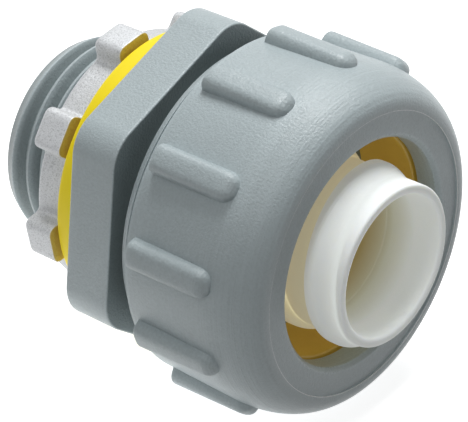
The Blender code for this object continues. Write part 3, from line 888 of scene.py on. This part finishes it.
def yellow_vinyl():
    """Soft yellow ring: even colour with slight clouding, paler edges and a fine matt skin.

    A faint emission of its own colour stands for the light that scatters inside it.
    """
    finish = Finish("yellow ring")
    cloud = finish.noise(0.2, 3.0)
    grain = finish.noise(4.2)
    base = finish.mix(cloud, (0.77, 0.6, 0.008), (0.84, 0.68, 0.014))
    base = finish.mix(finish.rim() * 0.4, base, (0.92, 0.78, 0.06))
    finish.surface({
        "IOR": 1.4, "Base Color": base, "Emission Color": base, "Emission Strength": 0.12,
        "Roughness": 0.42 + grain * 0.12})
    finish.relief(grain, 0.2, 0.05)
    return finish.material


def amber_nylon():
    """Amber compression ring: warm and slightly glossy, darker in places, with faint turned lines.

    A faint emission of its own colour stands for the light that scatters inside it.
    """
    finish = Finish("amber ring")
    cloud = finish.noise(0.26, 3.0)
    grain = finish.noise(3.8)
    lines = finish.noise(5.0, around=0.06)
    base = finish.mix(cloud, (0.44, 0.27, 0.035), (0.58, 0.38, 0.055))
    finish.surface({
        "IOR": 1.5, "Base Color": base, "Emission Color": base, "Emission Strength": 0.1,
        "Roughness": 0.34 + grain * 0.14})
    finish.relief(grain * 0.4 + lines * 0.5, 0.2, 0.05)
    return finish.material


def white_nylon():
    """Natural nylon ferrule: milky white at its lip, with faint turned lines.

    Inside the bore it turns greyer and then brown with depth, and behind the ridge it is cream: painted
    shade, tinted by a painted reflection of the amber ring. The emission stands for the light that scatters
    through its wall, and fades in the same places.
    """
    finish = Finish("white ferrule")
    place = finish.coordinate("X")
    # Painted shade and reflection: greyer inside the bore, amber-brown deeper in, and cream behind the ridge
    bore = finish.past(finish.off_axis(), BORE_EDGE, -6.0)
    inner = finish.past(place, INNER_FRONT, -0.33) * bore
    deep = finish.past(place, DEEP_FRONT, -0.33) * bore
    behind = finish.rim() * (1.0 - bore)
    cloud = finish.noise(0.18, 3.0)
    grain = finish.noise(3.0)
    lines = finish.noise(4.2, around=0.03)
    base = finish.mix(cloud, (0.72, 0.755, 0.765), (0.78, 0.81, 0.82))
    base = finish.mix(behind, base, (0.72, 0.68, 0.52))
    base = finish.mix(inner, base, (0.66, 0.68, 0.6))
    base = finish.mix(deep, base, (0.44, 0.36, 0.17))
    glow = finish.mix(bore - inner, (0.19, 0.193, 0.183), (0.24, 0.25, 0.245))
    glow = finish.mix(inner, glow, (0.13, 0.13, 0.1))
    glow = finish.mix(deep, glow, (0.09, 0.07, 0.03))
    glow = finish.mix(behind, glow, (0.22, 0.208, 0.15))
    finish.surface({
        "IOR": 1.42, "Base Color": base, "Roughness": 0.56 + grain * 0.14,
        "Subsurface Weight": 0.5, "Subsurface Scale": 0.7 * MM, "Subsurface Radius": (1.0, 0.9, 0.7),
        "Emission Color": glow, "Emission Strength": 1.0})
    finish.relief(grain * 0.3 + lines * 0.6, 0.5, 0.08)
    return finish.material


def lay_floor():
    """Pale floor under the ribs: it takes the shadow, and looks white to the camera where nothing shades it.

    The rays that carry light find another floor: it is darker in front than behind, and it glows under the
    part, so that the underside gets soft light from below.
    """
    low = cad_box[0][2]
    half = FLOOR_SIZE * MM / 2.0
    mesh = bpy.data.meshes.new("floor")
    corners = [(-half, -half, low), (half, -half, low), (half, half, low), (-half, half, low)]
    mesh.from_pydata(corners, [], [(0, 1, 2, 3)])
    finish = Finish("pale floor")
    seen = finish.seen()
    along = finish.coordinate("X")
    behind = finish.past(finish.coordinate("Y") * 0.4 - along, -21.875, 0.032)
    centre = (GLOW_CENTRE * MM, GLOW_CENTRE * MM, 0.0)
    away = finish.length(finish.vector("SUBTRACT", finish.spot(), centre))
    under = finish.past(away, GLOW_RADIUS, -1.0 / GLOW_RADIUS) * finish.past(along, GLOW_FRONT, -0.08)
    shown = finish.mix(finish.noise(0.03), level(0.49), level(0.51))
    finish.surface({
        "Roughness": 0.9, "Specular IOR Level": 0.1, "Emission Strength": 1.0,
        "Base Color": finish.mix(seen, finish.mix(behind, level(0.2), level(0.62)), shown),
        "Emission Color": finish.mix(seen, finish.mix(under, level(0.06), level(3.9)), level(0.85))})
    mesh.materials.append(finish.material)
    floor = bpy.data.objects.new("floor", mesh)
    bpy.context.collection.objects.link(floor)


def looking(towards, place):
    """Matrix of a lamp or camera that looks back along the unit vector towards it, upright."""
    right = np.cross([0.0, 0.0, 1.0], towards)
    right = right / np.linalg.norm(right)
    up = np.cross(towards, right)
    return Matrix([*np.column_stack([right, up, towards, place]).tolist(), [0.0, 0.0, 0.0, 1.0]])


def light_up():
    """Low white surroundings, a square lamp above and behind, and a narrow one in front on the left."""
    world = bpy.data.worlds.new("surroundings")
    world.use_nodes = True
    bench = Bench(world.node_tree)
    background = world.node_tree.nodes["Background"]
    background.inputs["Color"].default_value = (1.0, 1.0, 1.0, 1.0)
    bench.feed(background.inputs["Strength"], WORLD_LEVEL + (1.0 - WORLD_LEVEL) * bench.seen())
    bpy.context.scene.world = world
    lamps = [
        ("top lamp", (-20.0, 120.0, 400.0), 200.0, 200.0, 1.7),
        ("strip lamp", (43.0, -240.0, 310.0), 50.0, 360.0, 0.36),
    ]
    for name, place, width, height, power in lamps:
        lamp = bpy.data.lights.new(name, "AREA")
        lamp.shape = "RECTANGLE"
        lamp.size = width * MM
        lamp.size_y = height * MM
        lamp.energy = power
        lit = bpy.data.objects.new(name, lamp)
        towards = np.array(place) - [LAMP_AIM_X, 0.0, 0.0]
        lit.matrix_world = looking(towards / np.linalg.norm(towards), np.array(place) * MM)
        bpy.context.collection.objects.link(lit)


def set_camera():
    """Camera at the photograph's angle, aimed beside the nut's mouth so that the frame matches."""
    turn, rise = np.radians([CAMERA_TURN, CAMERA_RISE])
    towards = np.array([np.cos(rise) * np.cos(turn), -np.cos(rise) * np.sin(turn), np.sin(rise)])
    right = np.array([np.sin(turn), np.cos(turn), 0.0])
    up = np.cross(towards, right)
    place = towards * CAMERA_DISTANCE + right * CAMERA_SIDEWAYS + up * CAMERA_UPWARD + [AIM_X, 0.0, 0.0]
    camera = bpy.data.objects.new("camera", bpy.data.cameras.new("camera"))
    camera.data.sensor_width = SENSOR_WIDTH
    camera.data.lens = SENSOR_WIDTH * FOCAL_PIXELS / IMAGE_WIDTH
    camera.data.clip_start = CAMERA_CLIP * MM
    camera.matrix_world = looking(towards, place * MM)
    bpy.context.collection.objects.link(camera)
    bpy.context.scene.camera = camera


set_camera()
light_up()
lay_floor()

body_grey = grey_moulding("grey moulding", 0.6, painted_recess_shade=True)
nut_grey = grey_moulding("grey nut moulding", 0.8, painted_recess_shade=False)

make("moulded_body", body_shells(), body_grey, "body", ["connector_body"])
make("yellow_washer", seal_shells(), yellow_vinyl(), "body", ["sealing_ring"])
make("lugged_locknut", locknut_shells(), zinc_casting(), "lock", ["locknut"])
make("ribbed_nut", nut_shells(), nut_grey, "nut", ["gland_nut"])
make("amber_grip_ring", grip_shells(), amber_nylon(), "grip", ["grip_ring"])
make("spiral_ferrule", ferrule_shells(), white_nylon(), "body", ["ferrule"])

bpy.context.scene.view_settings.view_transform = "Standard"

bpy.context.view_layer.update()
